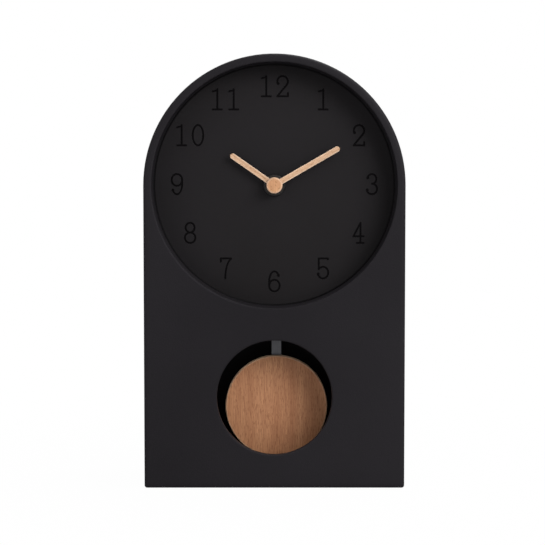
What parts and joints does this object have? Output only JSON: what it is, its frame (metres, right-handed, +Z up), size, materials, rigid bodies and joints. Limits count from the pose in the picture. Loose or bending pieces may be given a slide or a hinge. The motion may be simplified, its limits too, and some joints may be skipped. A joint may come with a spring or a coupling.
{
  "type": "desk pendulum clock",
  "caption": "Arched matte black desk clock with a recessed dial, cut numerals, wooden hands and a round wooden pendulum bob behind a round window.",
  "frame": {"origin": "middle of the footprint, on the surface that the clock stands on, at the undersides of the foot pads", "axes": "+Z up, +X to the viewer's right, the dial looks along -Y, so +Y points into the clock"},
  "size_m": [0.12, 0.055, 0.2],
  "materials": {
    "painted_board": "matte black paint on fibreboard",
    "raw_board": "plain sawn fibreboard",
    "pale_wood": "fine straight grain, oiled",
    "bob_wood": "fine straight grain, oiled",
    "pad_rubber": "matte",
    "washer_rubber": "matte",
    "zinc_steel": "zinc plated",
    "black_nut": "black, satin",
    "brass": "turned",
    "housing_plastic": "fine moulded texture",
    "plate_plastic": "moulded",
    "wheel_plastic": "smooth moulded",
    "red_plastic": "smooth moulded",
    "knob_plastic": "smooth moulded",
    "magnet": "nickel plated",
    "dark_magnet": "sintered, matte",
    "core_steel": "stamped",
    "copper_wire": "enamelled wire, wound",
    "bobbin_plastic": "smooth moulded",
    "board_laminate": "solder resist",
    "crystal_can": "drawn can",
    "cell_jacket": "plain printed jacket, steel ends",
    "nickel_strip": "nickel plated strip",
    "rod_metal": "grey satin"
  },
  "bodies": {
    "case": {"front_panel": "painted_board", "case_shell": "painted_board", "bottom_board": "painted_board", "foot_pads": "pad_rubber", "recess_ring": "painted_board", "dial_plate": "painted_board", "glue_blocks": "raw_board", "back_panel": "painted_board", "back_panel_screws": "zinc_steel", "threaded_bush": "brass", "fixing_nut": "black_nut", "rubber_washer": "washer_rubber", "movement_front_case": "housing_plastic", "movement_rear_case": "housing_plastic", "train_plate": "plate_plastic", "stator": "core_steel", "coil_core": "core_steel", "coil_bobbin": "bobbin_plastic", "coil_winding": "copper_wire", "circuit_board": "board_laminate", "quartz_crystal": "crystal_can", "battery_contact_positive": "nickel_strip", "battery_contact_negative": "nickel_strip", "drive_bobbin": "bobbin_plastic", "drive_coil": "copper_wire", "drive_board": "board_laminate", "hanger_pin": "zinc_steel"},
    "minute": {"minute_arbor": "brass", "clutch_washer": "brass", "minute_hand_collet": "brass", "minute_hand": "pale_wood", "hub_cap": "pale_wood"},
    "hour": {"hour_wheel": "wheel_plastic", "hour_hand_collet": "brass", "hour_hand": "pale_wood"},
    "motion": {"motion_wheel": "wheel_plastic"},
    "knob": {"set_knob": "knob_plastic"},
    "rotor": {"rotor_shaft": "wheel_plastic", "rotor_magnet": "dark_magnet"},
    "intermediate": {"intermediate_wheel": "red_plastic"},
    "second": {"second_wheel": "wheel_plastic"},
    "third": {"third_wheel": "wheel_plastic"},
    "centre": {"centre_wheel": "wheel_plastic"},
    "pendulum": {"hanger_lever": "plate_plastic", "hanger_magnet": "magnet", "pendulum_rod": "rod_metal", "pendulum_bob": "bob_wood", "bob_back_plate": "zinc_steel"},
    "battery": {"battery_cell": "cell_jacket"}
  },
  "joints": [
    {"name": "minute_hand_turn", "type": "hinge", "parent": "case", "child": "minute", "pos_m": [0, 0, 0.14], "axis": [0, 1, 0], "continuous": true},
    {"name": "hour_hand_turn", "type": "hinge", "parent": "case", "child": "hour", "pos_m": [0, 0, 0.14], "axis": [0, 1, 0], "continuous": true},
    {"name": "motion_wheel_turn", "type": "hinge", "parent": "case", "child": "motion", "pos_m": [0.0075, 0, 0.14], "axis": [0, 1, 0], "continuous": true},
    {"name": "set_knob_turn", "type": "hinge", "parent": "case", "child": "knob", "pos_m": [0.015, 0, 0.14], "axis": [0, 1, 0], "continuous": true},
    {"name": "rotor_turn", "type": "hinge", "parent": "case", "child": "rotor", "pos_m": [-0.01288, 0, 0.14], "axis": [0, 1, 0], "continuous": true},
    {"name": "intermediate_wheel_turn", "type": "hinge", "parent": "case", "child": "intermediate", "pos_m": [-0.00672, 0, 0.14], "axis": [0, 1, 0], "continuous": true},
    {"name": "second_wheel_turn", "type": "hinge", "parent": "case", "child": "second", "pos_m": [0, 0, 0.14], "axis": [0, 1, 0], "continuous": true},
    {"name": "third_wheel_turn", "type": "hinge", "parent": "case", "child": "third", "pos_m": [0, 0, 0.14918], "axis": [0, 1, 0], "continuous": true},
    {"name": "centre_wheel_turn", "type": "hinge", "parent": "case", "child": "centre", "pos_m": [0, 0, 0.14], "axis": [0, 1, 0], "continuous": true},
    {"name": "pendulum_swing", "type": "hinge", "parent": "case", "child": "pendulum", "pos_m": [0.001, 0, 0.106], "axis": [0, 1, 0], "range_deg": [-10, 10]},
    {"name": "battery_slide", "type": "slide", "parent": "case", "child": "battery", "axis": [0, 1, 0], "range_m": [0, 0.036]}
  ],
  "couplings": [
    {"joint": "hour_hand_turn", "follows": "minute_hand_turn", "ratio": 0.083333},
    {"joint": "motion_wheel_turn", "follows": "minute_hand_turn", "ratio": -0.33333},
    {"joint": "set_knob_turn", "follows": "minute_hand_turn", "ratio": 1},
    {"joint": "intermediate_wheel_turn", "follows": "rotor_turn", "ratio": -0.16667},
    {"joint": "second_wheel_turn", "follows": "rotor_turn", "ratio": 0.033333},
    {"joint": "third_wheel_turn", "follows": "rotor_turn", "ratio": -0.0041667},
    {"joint": "centre_wheel_turn", "follows": "rotor_turn", "ratio": 0.00055556}
  ]
}
